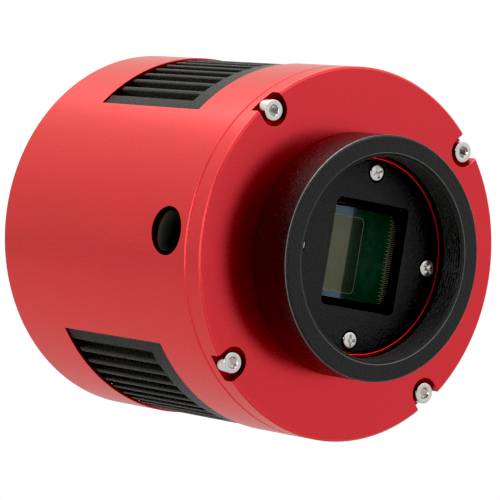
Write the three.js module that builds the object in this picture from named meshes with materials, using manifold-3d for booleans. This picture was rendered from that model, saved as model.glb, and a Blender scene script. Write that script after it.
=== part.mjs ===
// Cooled guide camera: a turned red body, a sensor chamber in front, a finned heat sink and a fan behind it.
// Millimetres, +Z up. The optical axis is -Y, and the origin is the centre of the front plate's front face.
import * as THREE from 'three';
import { mergeVertices } from 'three/addons/utils/BufferGeometryUtils.js';
import Module from 'manifold-3d';

const wasm = await Module();
wasm.setup();

// ---- driving dimensions ----
const BODY_R = 39;
const BODY_END = 71.5;
const SEAM = 5;
const GAP = 0.3;
const EDGE = 0.4;

const THREAD_R = 21;
const BOSS_OUT = 4;
const BOSS_R = THREAD_R - 0.1;
const COVER_R = 20;
const SCREW_SEAT_R = 16.2;
const WINDOW_LEDGE_R = 15.2;
const CHAMBER_R = 22.5;

const RING_R = 25.45;
const RING_FRONT = -10.8;

const PLATE_SCREW_R = 36.6;
const PLATE_SCREW_HOLE = 1.6;
const PLATE_SCREW_LENGTH = 9;
const POCKET_W = 6.4;
const POCKET_DEPTH = 2.7;
const COVER_SCREW_R = 17.6;

const APERTURE = { x0: -9.1, x1: 10.3, z0: -11.1, z1: 11.3, corner: 1.6, web: 2 };

const VENT = { y0: 19.6, y1: 54.4, half: 51.1 };
const COLLAR_R = 34;
const COLLAR_END = 16.8;
const SHELL_WALL = 0.65;
const SINK_R = 38.15;
const SINK_Y0 = 17.1;
const FIN_Y0 = 25;
const FIN_Y1 = 53.6;
const FIN_PITCH = 2.6;
const FIN_T = 0.9;
const SLOT_COUNT = 22;

const PLUG = { y: 12.2, z: -1.6, holeR: 5, r: 4.7, out: 38.3 };

const FAN = {
  half: 22.5, y0: 53.95, depth: 10, holeAt: 18.5, bladeR: 20.4, hubR: 9.5, tubeR: 2.2, blades: 7,
};
const POST_AT = 24.75;
const BOARD_Y0 = 54.9;
const BOARD_T = 1.6;
const PORT_END = 71.2;
const REAR_Y0 = 67.8;
const REAR_Y1 = 70.9;
const REAR_R = 37.9;

const FINE = 64;
const MEDIUM = 32;
const COARSE = 14;

// ---- materials ----
function finish(color, roughness, metalness) {
  return new THREE.MeshStandardMaterial({ color, roughness, metalness });
}

const redAnodised = finish(0xc8303a, 0.42, 0.6);
const blackAnodised = finish(0x262626, 0.55, 0.4);
const steel = finish(0xc9c9c9, 0.3, 1);
const rubber = finish(0x151515, 0.7, 0);
const blackPlastic = finish(0x1c1c1c, 0.5, 0);
const ceramic = finish(0x8c8c86, 0.6, 0);
const whiteCeramic = finish(0xe8e6de, 0.6, 0);
const silicon = finish(0x123a24, 0.2, 0.2);
const glass = finish(0xbfd6d0, 0.05, 0);
const circuitBoard = finish(0x1d4a34, 0.5, 0);
const aluminium = finish(0xb4b6b8, 0.4, 0.9);
const nickel = finish(0xb9b9b4, 0.3, 0.9);
const usbBlue = finish(0x2a5fb0, 0.5, 0);

// ---- solids ----
// A closed geometry becomes a solid once only its positions are left and shared corners are merged.
function solid(geometry) {
  const bare = geometry.index ? geometry.toNonIndexed() : geometry;
  bare.deleteAttribute('normal');
  bare.deleteAttribute('uv');
  const merged = mergeVertices(bare, 1e-5);
  const corners = merged.attributes.position.array;
  const faces = [];
  let volume = 0;
  const at = (i) => new THREE.Vector3().fromArray(corners, i * 3);
  for (let i = 0; i < merged.index.count; i += 3) {
    const [a, b, c] = [0, 1, 2].map((k) => merged.index.getX(i + k));
    if (a === b || b === c || a === c) continue;
    faces.push(a, b, c);
    volume += at(a).dot(at(b).cross(at(c)));
  }
  if (volume < 0) faces.reverse();
  return new wasm.Manifold(new wasm.Mesh({
    numProp: 3,
    vertProperties: new Float32Array(corners),
    triVerts: new Uint32Array(faces),
  }));
}

const deg = (angle) => angle * Math.PI / 180;
const join = (first, ...others) => others.reduce((sum, next) => sum.add(next), first);
const cut = (first, ...others) => others.reduce((rest, next) => rest.subtract(next), first);
const shifted = (geometry, x, y, z) => solid(geometry.translate(x, y, z));

// A box from one corner to the other.
function box([x0, y0, z0], [x1, y1, z1]) {
  const size = [x1 - x0, y1 - y0, z1 - z0];
  return shifted(new THREE.BoxGeometry(...size), (x0 + x1) / 2, (y0 + y1) / 2, (z0 + z1) / 2);
}

// A block centred on (x, z), wide and tall as given, from y0 to y1.
const block = (x, z, w, h, y0, y1) => box([x - w / 2, y0, z - h / 2], [x + w / 2, y1, z + h / 2]);

// A round bar along Y, centred on (x, z).
function disc(r, y0, y1, x = 0, z = 0, sides = COARSE) {
  return shifted(new THREE.CylinderGeometry(r, r, y1 - y0, sides), x, (y0 + y1) / 2, z);
}

// A round bar along X, centred on (y, z).
function bar(r, x0, x1, y, z, sides = COARSE) {
  const lying = new THREE.CylinderGeometry(r, r, x1 - x0, sides).rotateZ(Math.PI / 2);
  return shifted(lying, (x0 + x1) / 2, y, z);
}

// A ring or disc turned about the optical axis from [radius, y] points.
function turned(points, sides = FINE) {
  const profile = points.map(([r, y]) => new THREE.Vector2(r, y));
  const onAxis = points[0][0] === 0;
  if (!onAxis) profile.push(profile[0].clone());
  return solid(new THREE.LatheGeometry(profile, sides));
}

// A flat outline in X and Z, made thick from y0 to y1.
function slab(shape, y0, y1, curve = 12) {
  const depth = y1 - y0;
  const flat = new THREE.ExtrudeGeometry(shape, { depth, bevelEnabled: false, curveSegments: curve });
  return shifted(flat.rotateX(Math.PI / 2), 0, y1, 0);
}

// A rectangle with round corners, as an outline.
function roundedRect(x0, x1, z0, z1, r) {
  const shape = new THREE.Shape();
  shape.moveTo(x0 + r, z0);
  shape.lineTo(x1 - r, z0);
  shape.absarc(x1 - r, z0 + r, r, -Math.PI / 2, 0, false);
  shape.lineTo(x1, z1 - r);
  shape.absarc(x1 - r, z1 - r, r, 0, Math.PI / 2, false);
  shape.lineTo(x0 + r, z1);
  shape.absarc(x0 + r, z1 - r, r, Math.PI / 2, Math.PI, false);
  shape.lineTo(x0, z0 + r);
  shape.absarc(x0 + r, z0 + r, r, Math.PI, 1.5 * Math.PI, false);
  return shape;
}

// A stretch of ring between two radii and two angles, as an outline.
function arcBand(rIn, rOut, from, to) {
  const shape = new THREE.Shape();
  shape.absarc(0, 0, rOut, from, to, false);
  shape.absarc(0, 0, rIn, to, from, true);
  return shape;
}

const quarterTurns = [0, 1, 2, 3].map((k) => k * Math.PI / 2);
const diagonals = quarterTurns.map((angle) => angle + Math.PI / 4);
const onCircle = (r, angle) => [r * Math.cos(angle), r * Math.sin(angle)];
const fourCorners = (half) => [[half, half], [-half, half], [-half, -half], [half, -half]];

const camera = new THREE.Group();
camera.name = 'guide_camera';

function place(name, shape, material) {
  const found = shape.getMesh();
  const geometry = new THREE.BufferGeometry();
  const corners = new Float32Array(found.vertProperties);
  geometry.setAttribute('position', new THREE.BufferAttribute(corners, 3));
  geometry.setIndex(new THREE.BufferAttribute(new Uint32Array(found.triVerts), 1));
  geometry.computeVertexNormals();
  const piece = new THREE.Mesh(geometry, material);
  piece.name = name;
  camera.add(piece);
}

// ---- body ----
// The tube: a thick collar in front that the plate screws bite into, then a thin wall around the heat sink.
function bodyShell() {
  const wallIn = BODY_R - SHELL_WALL;
  const tube = turned([
    [COLLAR_R, SEAM + 0.05], [BODY_R, SEAM + 0.05], [BODY_R, BODY_END - EDGE], [BODY_R - EDGE, BODY_END],
    [wallIn, BODY_END], [wallIn, COLLAR_END], [COLLAR_R, COLLAR_END],
  ]);
  const half = deg(VENT.half);
  const vent = (middle) => (
    slab(arcBand(BODY_R - 3, BODY_R + 2, middle - half, middle + half), VENT.y0, VENT.y1, 20)
  );
  const port = bar(PLUG.holeR, -BODY_R - 1, 0, PLUG.y, PLUG.z, MEDIUM);
  const threads = diagonals.map((angle) => (
    disc(PLATE_SCREW_HOLE, SEAM, SEAM + PLATE_SCREW_LENGTH, ...onCircle(PLATE_SCREW_R, angle))
  ));
  return cut(tube, vent(Math.PI / 2), vent(-Math.PI / 2), port, ...threads);
}

// A pocket for one plate screw: a slot with a round inner end, open through the rim.
function screwPocket(angle) {
  const [x, z] = onCircle(PLATE_SCREW_R, angle);
  const well = disc(POCKET_W / 2, -1, POCKET_DEPTH, x, z, COARSE);
  const way = new THREE.BoxGeometry(8, POCKET_DEPTH + 1, POCKET_W);
  way.translate(PLATE_SCREW_R + 4, (POCKET_DEPTH - 1) / 2, 0).rotateY(-angle);
  return join(well, solid(way), disc(PLATE_SCREW_HOLE, 0, SEAM + 1, x, z));
}

function frontPlate() {
  const seatY = -1;
  const ledgeY = 1.6;
  const chamberY = 3;
  const recessR = COVER_R + 0.25;
  const back = SEAM - 0.05;
  const blank = turned([
    [recessR, -BOSS_OUT], [BOSS_R - EDGE, -BOSS_OUT], [BOSS_R, -BOSS_OUT + EDGE], [BOSS_R, 0],
    [BODY_R - EDGE, 0], [BODY_R, EDGE], [BODY_R, back], [CHAMBER_R, back], [CHAMBER_R, chamberY],
    [WINDOW_LEDGE_R, chamberY], [WINDOW_LEDGE_R, ledgeY], [SCREW_SEAT_R, ledgeY], [SCREW_SEAT_R, seatY],
    [recessR, seatY],
  ]);
  const tapR = 1.1;
  const taps = quarterTurns.map((angle) => (
    disc(tapR, seatY - 1, chamberY - 0.6, ...onCircle(COVER_SCREW_R, angle))
  ));
  return cut(blank, ...diagonals.map(screwPocket), ...taps);
}

// A socket cap screw with its head's top at y, pointing along +Y.
function capScrew(x, z, y, length) {
  const headR = 2.25;
  const headH = 2.5;
  const socket = shifted(new THREE.CylinderGeometry(1.15, 1.15, 1.4, 6), x, y + 0.6, z);
  const head = cut(disc(headR, y, y + headH, x, z), socket);
  return join(head, disc(1.25, y + headH - 0.1, y + headH + length, x, z));
}

// ---- front: extension ring, chamber cover and window ----
function extensionRing() {
  const back = -0.1;
  const bore = BOSS_R + GAP;
  return turned([
    [THREAD_R + 0.9, RING_FRONT], [RING_R - 0.8, RING_FRONT], [RING_R, RING_FRONT + 0.8], [RING_R, back],
    [bore, back], [bore, RING_FRONT + 0.7],
  ]);
}

// The same opening with its corners cut across, left as small webs behind the round-cornered front.
function webbedRect({ x0, x1, z0, z1, web }) {
  const corners = [
    [x0 + web, z0], [x1 - web, z0], [x1, z0 + web], [x1, z1 - web],
    [x1 - web, z1], [x0 + web, z1], [x0, z1 - web], [x0, z0 + web],
  ];
  return new THREE.Shape(corners.map(([x, z]) => new THREE.Vector2(x, z)));
}

function chamberCover() {
  const { x0, x1, z0, z1, corner } = APERTURE;
  const face = -3.9;
  const webY = face + 1.1;
  const blank = disc(COVER_R - 0.05, face, -1.3, 0, 0, FINE);
  const opening = join(
    slab(roundedRect(x0, x1, z0, z1, corner), face - 1, webY, 4),
    slab(webbedRect(APERTURE), webY - 0.5, 0),
  );
  const holes = quarterTurns.map((angle) => {
    const [x, z] = onCircle(COVER_SCREW_R, angle);
    return join(disc(2.1, face - 1, face + 1.1, x, z), disc(1.3, face - 1, 0, x, z));
  });
  return cut(blank, opening, ...holes);
}

// A pan head screw for the chamber cover, with a cross cut in its head.
function coverScrew(angle) {
  const [x, z] = onCircle(COVER_SCREW_R, angle);
  const top = -4.25;
  const head = disc(1.87, top, top + 1.3, x, z);
  const arm = 2.2;
  const wide = 0.55;
  const depth = 0.6;
  const across = block(x, z, arm, wide, top - 1, top + depth);
  const cross = join(across, block(x, z, wide, arm, top - 1, top + depth));
  return join(cut(head, cross), disc(0.85, top + 1.2, 1.9, x, z));
}

const flatRing = (rIn, rOut, y0, y1) => turned([[rIn, y0], [rOut, y0], [rOut, y1], [rIn, y1]], MEDIUM);

// ---- sensor and cooling stack ----
const SENSOR = { halfW: 16, halfH: 11, dieW: 14.9, dieH: 10, dieY: 5.9 };

function sensorPackage() {
  const tray = block(0, 0, 2 * SENSOR.halfW, 2 * SENSOR.halfH, 5.3, 8.2);
  return cut(tray, block(0, 0, 2 * SENSOR.dieW + 0.8, 2 * SENSOR.dieH + 0.8, 5, SENSOR.dieY + 1));
}

function chamberHousing() {
  const cup = turned([
    [CHAMBER_R, SEAM + 0.3], [26.2, SEAM + 0.3], [26.2, 16.6], [0, 16.6], [0, 12.6], [CHAMBER_R, 12.6],
  ].reverse());
  const channel = bar(3, -27, -20, PLUG.y, PLUG.z);
  return cut(cup, block(0, 0, 31.5, 31.5, 12, 18), channel);
}

function sensorDie() {
  return block(0, 0, 2 * SENSOR.dieW, 2 * SENSOR.dieH, SENSOR.dieY, SENSOR.dieY + 0.8);
}

function sensorBoard() {
  return cut(disc(21.8, 8.5, 10, 0, 0, MEDIUM), block(0, 0, 14, 14, 8, 11));
}

function coldFinger() {
  return join(block(0, 0, 13, 13, 8.5, 11.2), block(0, 0, 28, 28, 11, 12.8));
}

const CHIP_AT = 30;

function readoutBoard() {
  return flatRing(26.6, 33.6, 5.7, 7.2);
}

function heatSink() {
  const blank = disc(SINK_R, SINK_Y0, FIN_Y1, 0, 0, FINE);
  const tall = 2 * BODY_R;
  const slots = Array.from({ length: SLOT_COUNT }, (_, i) => {
    const x = (i - (SLOT_COUNT - 1) / 2) * FIN_PITCH;
    return block(x, 0, FIN_PITCH - FIN_T, tall, FIN_Y0, FIN_Y1 + 1);
  });
  const post = ([x, z]) => disc(2.6, FIN_Y0 - 1, BOARD_Y0 - GAP, x, z, 12);
  const fanPost = ([x, z]) => disc(2.4, FIN_Y1 - 9, FIN_Y1, x, z, 12);
  const bite = ([x, z]) => disc(1.8, FIN_Y1 - 6, FIN_Y1 + 3, x, z, 12);
  const finned = cut(blank, ...slots);
  const studded = join(finned, ...fourCorners(POST_AT).map(post), ...fourCorners(FAN.holeAt).map(fanPost));
  return cut(studded, ...fourCorners(FAN.holeAt).map(bite), ...fourCorners(POST_AT).map(bite));
}

// ---- fan ----
const fanEnd = FAN.y0 + FAN.depth;

function fanFrame() {
  const { half, y0, bladeR, holeAt, hubR } = FAN;
  const frame = cut(
    slab(roundedRect(-half, half, -half, half, 3), y0, fanEnd, 4),
    disc(bladeR + 0.6, y0 - 1, fanEnd + 1, 0, 0, MEDIUM),
    ...fourCorners(holeAt).map(([x, z]) => disc(1.9, y0 - 1, fanEnd + 1, x, z)),
  );
  const waist = cut(
    block(0, 0, 3 * half, 3 * half, y0 + 3, fanEnd - 3),
    disc(bladeR + 1.9, y0 - 1, fanEnd + 1, 0, 0, MEDIUM),
    ...fourCorners(holeAt + 2).map(([x, z]) => block(x, z, 10, 10, y0, fanEnd)),
  );
  const armY = fanEnd - 1.6;
  const arms = quarterTurns.map((angle) => {
    const arm = new THREE.BoxGeometry(bladeR + 1 - hubR + 1, 1.6, 2);
    arm.translate((bladeR + 1 + hubR - 1) / 2, armY + 0.8, 0).rotateY(-angle - deg(20));
    return solid(arm);
  });
  return join(cut(frame, waist), disc(hubR, armY, fanEnd), ...arms);
}

function fanRotor() {
  const { y0, hubR, bladeR, blades, tubeR } = FAN;
  const hubFront = y0 + 0.4;
  const hubBack = fanEnd - 2.2;
  const hub = turned([
    [0, hubFront], [hubR - 1, hubFront], [hubR, hubFront + 1], [hubR, hubBack], [hubR - 1.2, hubBack],
    [hubR - 1.2, hubFront + 1.4], [tubeR - 1, hubFront + 1.4], [tubeR - 1, hubBack - 1], [0, hubBack - 1],
  ], MEDIUM);
  const blade = (i) => {
    const span = bladeR - hubR + 0.5;
    const chord = 8.4;
    const shape = new THREE.BoxGeometry(span, 0.9, chord, 2, 1, 3);
    const spot = shape.attributes.position;
    for (let k = 0; k < spot.count; k += 1) {
      const reach = spot.getX(k) / span + 0.5;
      const bow = 0.9 * (1 - (2 * spot.getZ(k) / chord) ** 2);
      spot.setY(k, spot.getY(k) + bow + spot.getZ(k) * (0.72 - 0.22 * reach));
      spot.setZ(k, spot.getZ(k) * (0.8 + 0.5 * reach));
    }
    shape.translate((bladeR + hubR - 0.5) / 2, (hubFront + hubBack) / 2 - 0.4, 0);
    return solid(shape.rotateY(2 * Math.PI * i / blades));
  };
  const swept = disc(bladeR, y0, fanEnd, 0, 0, MEDIUM);
  return join(hub, ...Array.from({ length: blades }, (_, i) => blade(i))).intersect(swept);
}

function fanStator() {
  const { hubR, tubeR, y0 } = FAN;
  const back = fanEnd - 1.9;
  const coil = turned([[tubeR, y0 + 3.4], [hubR - 1.8, y0 + 3.4], [hubR - 1.8, back], [tubeR, back]], MEDIUM);
  const poles = quarterTurns.map((angle) => {
    const notch = new THREE.BoxGeometry(4, 20, 1.4);
    notch.translate(hubR - 2, fanEnd - 5, 0).rotateY(-angle);
    return solid(notch);
  });
  return cut(join(coil, flatRing(tubeR - 0.7, tubeR + 0.1, y0 + 2.2, back)), ...poles);
}

// ---- rear: boards, ports and cover ----
const PORTS = {
  usbB: { x: 0, z: -29.7, w: 12, h: 10.4 },
  usbLeft: { x: -29.9, z: 0, w: 5.8, h: 13.2 },
  usbRight: { x: 29.9, z: 0, w: 5.8, h: 13.2 },
  power: { x: 0, z: 29.8, w: 9, h: 10.6 },
};
const portStart = BOARD_Y0 + BOARD_T + GAP;

function interfaceBoard() {
  const board = disc(37.6, BOARD_Y0, BOARD_Y0 + BOARD_T, 0, 0, MEDIUM);
  const fanHole = block(0, 0, 2 * FAN.half + 0.8, 2 * FAN.half + 0.8, BOARD_Y0 - 1, BOARD_Y0 + 3);
  const holes = fourCorners(POST_AT).map(([x, z]) => disc(1.6, BOARD_Y0 - 1, BOARD_Y0 + 3, x, z));
  return cut(board, fanHole, ...holes);
}

function portShell({ x, z, w, h }, wall) {
  const outer = block(x, z, w, h, portStart, PORT_END);
  return cut(outer, block(x, z, w - 2 * wall, h - 2 * wall, PORT_END - 9, PORT_END + 1));
}

function usbHubPort(port) {
  const tongue = block(port.x - 0.9, port.z, 1.6, port.h - 2.2, portStart + 1, PORT_END - 0.9);
  return join(portShell(port, 0.4), tongue);
}

function usbHostPort(port) {
  const lower = block(port.x, port.z - 1.2, 5.6, 3, portStart + 1, PORT_END - 0.9);
  const upper = block(port.x, port.z + 3.3, 7, 1.1, portStart + 1, PORT_END - 0.9);
  return join(portShell(port, 0.5), lower, upper);
}

function powerJack({ x, z, w, h }) {
  const shell = cut(block(x, z, w, h, portStart, PORT_END), disc(3.2, PORT_END - 9.5, PORT_END + 1, x, z));
  return join(shell, disc(1.05, portStart + 1, PORT_END - 0.7, x, z, 16));
}

function rearCover() {
  const plate = turned([
    [0, REAR_Y0], [REAR_R, REAR_Y0], [REAR_R, REAR_Y1 - EDGE], [REAR_R - EDGE, REAR_Y1], [0, REAR_Y1],
  ]);
  const slots = [[5.4, 8.4], [10, 13], [14.6, 17.6]].flatMap(([rIn, rOut], ring) => (
    [0, 1, 2, 3, 4, 5].map((k) => {
      const middle = deg(60 * k + 30 * ring);
      const half = deg(30) - 1 / rIn;
      return slab(arcBand(rIn, rOut, middle - half, middle + half), REAR_Y0 - 1, REAR_Y1 + 1, 3);
    })
  ));
  const cutouts = Object.values(PORTS).map(({ x, z, w, h }) => (
    block(x, z, w + 2 * GAP, h + 2 * GAP, REAR_Y0 - 1, REAR_Y1 + 1)
  ));
  const holes = fourCorners(POST_AT).map(([x, z]) => (
    join(disc(1.6, REAR_Y0 - 1, REAR_Y1 + 1, x, z), disc(2.9, REAR_Y1 - 1.7, REAR_Y1 + 1, x, z))
  ));
  return cut(plate, ...slots, ...cutouts, ...holes);
}

// A low cap screw driven from behind, along -Y.
function rearScrew([x, z]) {
  const top = REAR_Y1 - 0.1;
  const socket = shifted(new THREE.CylinderGeometry(1.15, 1.15, 2, 6), x, top, z);
  const head = cut(disc(2.6, top - 1.5, top, x, z), socket);
  return join(head, disc(1.3, top - 5.5, top - 1.4, x, z));
}

function standoff([x, z]) {
  const y1 = REAR_Y0 - GAP;
  const hexagon = new THREE.CylinderGeometry(2.6, 2.6, y1 - portStart, 6);
  const post = shifted(hexagon, x, (portStart + y1) / 2, z);
  return cut(post, disc(1.6, REAR_Y0 - 5, REAR_Y0 + 1, x, z, 16));
}

function fanScrew([x, z]) {
  const top = fanEnd + 1.6;
  const head = cut(disc(2.6, fanEnd + 0.1, top, x, z), block(x, z, 3, 0.7, top - 0.7, top + 1));
  return join(head, disc(1.4, FIN_Y1 - 5.4, fanEnd + 0.2, x, z, 16));
}

// ---- side port ----
// A shape turned about the side port's own axis from [radius, x] points.
function turnedInPort(points) {
  const profile = points.map(([r, x]) => new THREE.Vector2(r, x));
  return shifted(new THREE.LatheGeometry(profile, MEDIUM).rotateZ(-Math.PI / 2), 0, PLUG.y, PLUG.z);
}

const PLUG_BACK = -33.9;
const GROOVE_BACK = -35.4;
const GROOVE_FRONT = -36.2;

function sidePlug() {
  const { r, out } = PLUG;
  const crown = 1;
  return turnedInPort([
    [0, PLUG_BACK], [r - 1.2, PLUG_BACK], [r - 1.2, GROOVE_BACK], [r - 0.7, GROOVE_BACK],
    [r - 0.7, GROOVE_FRONT], [r, GROOVE_FRONT], [r, -out + crown],
    [r * 0.93, -out + 0.42 * crown], [r * 0.75, -out + 0.12 * crown], [0, -out],
  ]);
}

function plugOring() {
  const rIn = PLUG.r - 0.65;
  const rOut = PLUG.r + 0.1;
  const x0 = GROOVE_FRONT + 0.1;
  const x1 = GROOVE_BACK - 0.1;
  return turnedInPort([[rIn, x0], [rOut, x0], [rOut, x1], [rIn, x1], [rIn, x0]]);
}

const tablet = (x) => bar(2.6, x, x + 2.4, PLUG.y, PLUG.z);

function desiccantTube() {
  return cut(bar(4.2, -33.6, -26.5, PLUG.y, PLUG.z), bar(3, -34, -26, PLUG.y, PLUG.z));
}

// ---- assembly ----
place('body_shell', bodyShell(), redAnodised);
place('front_plate', frontPlate(), redAnodised);
place('t2_extension_ring', extensionRing(), blackAnodised);
diagonals.forEach((angle, i) => {
  const [x, z] = onCircle(PLATE_SCREW_R, angle);
  place(`plate_screw_${i + 1}`, capScrew(x, z, 0.1, PLATE_SCREW_LENGTH), steel);
});
place('chamber_cover', chamberCover(), blackAnodised);
quarterTurns.forEach((angle, i) => place(`cover_screw_${i + 1}`, coverScrew(angle), steel));
place('window_oring', flatRing(15.3, 15.9, 0.75, 1.5), rubber);
place('protective_window', disc(15.9, -0.9, 0.6, 0, 0, MEDIUM), glass);
place('sensor_cover_glass', block(0, 0, 31, 21, 4.5, 5.1), glass);
place('sensor_package', sensorPackage(), ceramic);
place('sensor_die', sensorDie(), silicon);
place('sensor_board', sensorBoard(), circuitBoard);
place('cold_finger', coldFinger(), aluminium);
place('cooler_cold_ceramic', block(0, 0, 30, 30, 13.1, 13.8), whiteCeramic);
place('cooler_core', block(0, 0, 28, 28, 13.9, 15.9), aluminium);
place('cooler_hot_ceramic', block(0, 0, 30, 30, 16, 16.7), whiteCeramic);
place('chamber_housing', chamberHousing(), blackPlastic);
place('readout_board', readoutBoard(), circuitBoard);
place('memory_chip', block(CHIP_AT, 0, 5, 8, 7.3, 8.4), blackPlastic);
place('readout_chip', block(0, CHIP_AT, 8, 5, 7.3, 8.4), blackPlastic);
place('side_plug', sidePlug(), rubber);
place('plug_oring', plugOring(), rubber);
place('desiccant_tube', desiccantTube(), blackPlastic);
place('desiccant_tablet_1', tablet(-29.6), whiteCeramic);
place('desiccant_tablet_2', tablet(-32.4), whiteCeramic);
place('heat_sink', heatSink(), blackAnodised);
place('fan_frame', fanFrame(), blackPlastic);
place('fan_rotor', fanRotor(), blackPlastic);
place('fan_stator', fanStator(), nickel);
fourCorners(FAN.holeAt).forEach((spot, i) => place(`fan_screw_${i + 1}`, fanScrew(spot), steel));
place('interface_board', interfaceBoard(), circuitBoard);
place('usb_chip', block(12.6, 28.6, 8, 8, portStart, portStart + 1), blackPlastic);
place('usb_host_port', usbHostPort(PORTS.usbB), usbBlue);
place('usb_hub_port_left', usbHubPort(PORTS.usbLeft), nickel);
place('usb_hub_port_right', usbHubPort(PORTS.usbRight), nickel);
place('power_jack', powerJack(PORTS.power), blackPlastic);
fourCorners(POST_AT).forEach((spot, i) => place(`rear_standoff_${i + 1}`, standoff(spot), nickel));
place('rear_cover', rearCover(), redAnodised);
fourCorners(POST_AT).forEach((spot, i) => place(`rear_screw_${i + 1}`, rearScrew(spot), steel));

export default camera;
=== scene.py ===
"""Looks for a cooled guide camera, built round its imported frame.

The camera looks along -Y with +Z up, and the origin is the centre of the front plate's front face.
Outlines and profiles are written in millimetres, and the mesh makers turn them into metres.
"""

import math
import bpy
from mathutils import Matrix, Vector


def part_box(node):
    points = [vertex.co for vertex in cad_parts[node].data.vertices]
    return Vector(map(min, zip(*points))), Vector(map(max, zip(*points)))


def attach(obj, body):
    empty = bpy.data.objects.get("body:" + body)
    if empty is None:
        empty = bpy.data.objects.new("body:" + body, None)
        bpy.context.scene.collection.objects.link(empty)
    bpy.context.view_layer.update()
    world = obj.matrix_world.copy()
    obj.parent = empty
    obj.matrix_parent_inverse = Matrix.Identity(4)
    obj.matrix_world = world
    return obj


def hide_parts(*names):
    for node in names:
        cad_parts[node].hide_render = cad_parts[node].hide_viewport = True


bl_info = {
    "name": "Guide camera looks",
    "version": (1, 0, 0),
    "blender": (4, 5, 0),
    "location": "3D View > Sidebar > Guide camera",
    "description": "Builds the visible pieces, the finishes and the studio of a cooled guide camera",
    "category": "Object",
}

import bmesh
import bpy
from bpy.props import FloatProperty, FloatVectorProperty, IntProperty, PointerProperty
from mathutils import Matrix, Vector

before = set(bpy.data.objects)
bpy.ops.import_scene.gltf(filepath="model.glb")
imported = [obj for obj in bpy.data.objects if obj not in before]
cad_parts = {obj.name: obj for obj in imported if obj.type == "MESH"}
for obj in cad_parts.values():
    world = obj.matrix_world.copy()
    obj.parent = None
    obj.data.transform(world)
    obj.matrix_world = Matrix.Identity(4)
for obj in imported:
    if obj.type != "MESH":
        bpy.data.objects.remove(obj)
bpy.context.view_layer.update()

MM = 0.001
QUARTERS = [math.radians(90 * k) for k in range(4)]
DIAGONALS = [math.radians(45 + 90 * k) for k in range(4)]


def node_box(node):
    """The lowest and highest corner of a CAD node, in millimetres."""
    low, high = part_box(node)
    return low / MM, high / MM


def node_centre(node):
    low, high = node_box(node)
    return (low + high) / 2


# ---- sizes and colours that a user can change ----


class CameraSizes(bpy.types.PropertyGroup):
    """Sizes of the details that the frame leaves open."""

    sides: IntProperty(name="Sides", description="Flat facets round a turned piece", default=192, min=48)
    edge: FloatProperty(
        name="Broken edge", description="Radius on machined edges", default=0.15 * MM, unit="LENGTH"
    )
    chamfer: FloatProperty(
        name="Chamfer", description="Chamfer on the front edges", default=0.42 * MM, unit="LENGTH"
    )
    thread_pitch: FloatProperty(
        name="Thread pitch", description="Pitch of the front threads", default=0.75 * MM, unit="LENGTH"
    )
    fin_thickness: FloatProperty(
        name="Fin thickness", description="Thickness of a heat sink fin", default=0.9 * MM, unit="LENGTH"
    )
    wires: IntProperty(name="Bond wires", description="Along one side of the sensor", default=24)


class CameraColours(bpy.types.PropertyGroup):
    """Base colours of the finishes."""

    red: FloatVectorProperty(
        name="Red", description="Red anodising", subtype="COLOR", size=3, default=(0.90, 0.006, 0.02)
    )
    black: FloatVectorProperty(
        name="Black", description="Black anodising", subtype="COLOR", size=3,
        default=(0.0018, 0.0018, 0.0018),
    )
    steel: FloatVectorProperty(
        name="Steel", description="Stainless screws", subtype="COLOR", size=3, default=(0.86, 0.84, 0.81)
    )
    board: FloatVectorProperty(
        name="Board", description="Circuit boards", subtype="COLOR", size=3, default=(0.02, 0.10, 0.05)
    )
    floor: FloatVectorProperty(
        name="Floor", description="Studio floor", subtype="COLOR", size=3, default=(0.52, 0.52, 0.52)
    )


class StageSettings(bpy.types.PropertyGroup):
    """Where the picture is taken from, and how bright the studio is."""

    azimuth: FloatProperty(name="Azimuth", description="Round from the front, in degrees", default=-37.64)
    elevation: FloatProperty(name="Elevation", description="Above the axis, in degrees", default=-1.67)
    roll: FloatProperty(name="Roll", description="Turn of the camera, in degrees", default=9.284)
    distance: FloatProperty(name="Distance", description="To the aim point", default=0.7084, unit="LENGTH")
    lens: FloatProperty(name="Lens", description="Focal length in millimetres", default=246.3)
    aim: FloatVectorProperty(
        name="Aim", description="Point that the camera looks at", size=3,
        default=(-0.01647, 0.01278, -0.00238),
    )
    walls: FloatProperty(name="Walls", description="Brightness of the studio walls", default=1.38)
    black_point: FloatProperty(name="Black point", description="Light that prints as black", default=0.01)
    light: FloatProperty(name="Light", description="Scales every lamp", default=1.0)


# ---- mesh makers ----


def add_piece(name, mesh):
    piece = bpy.data.objects.new(name, mesh)
    bpy.context.scene.collection.objects.link(piece)
    return piece


def finish_mesh(name, bm):
    bmesh.ops.recalc_face_normals(bm, faces=bm.faces)
    mesh = bpy.data.meshes.new(name)
    bm.to_mesh(mesh)
    bm.free()
    return add_piece(name, mesh)


def rounded(points, radius, steps=4):
    """A closed outline with its corners rounded.

    A point may carry a radius of its own as a third number.
    """
    out = []
    for i, point in enumerate(points):
        here = Vector(point[:2])
        before = Vector(points[i - 1][:2]) - here
        after = Vector(points[(i + 1) % len(points)][:2]) - here
        reach = point[2] if len(point) > 2 else radius
        reach = min(reach, before.length * 0.45, after.length * 0.45)
        if reach < 1e-4:
            out.append(here)
            continue
        start, end = here + before.normalized() * reach, here + after.normalized() * reach
        for k in range(steps + 1):
            t = k / steps
            out.append(start * (1 - t) ** 2 + here * 2 * t * (1 - t) + end * t ** 2)
    return out


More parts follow.
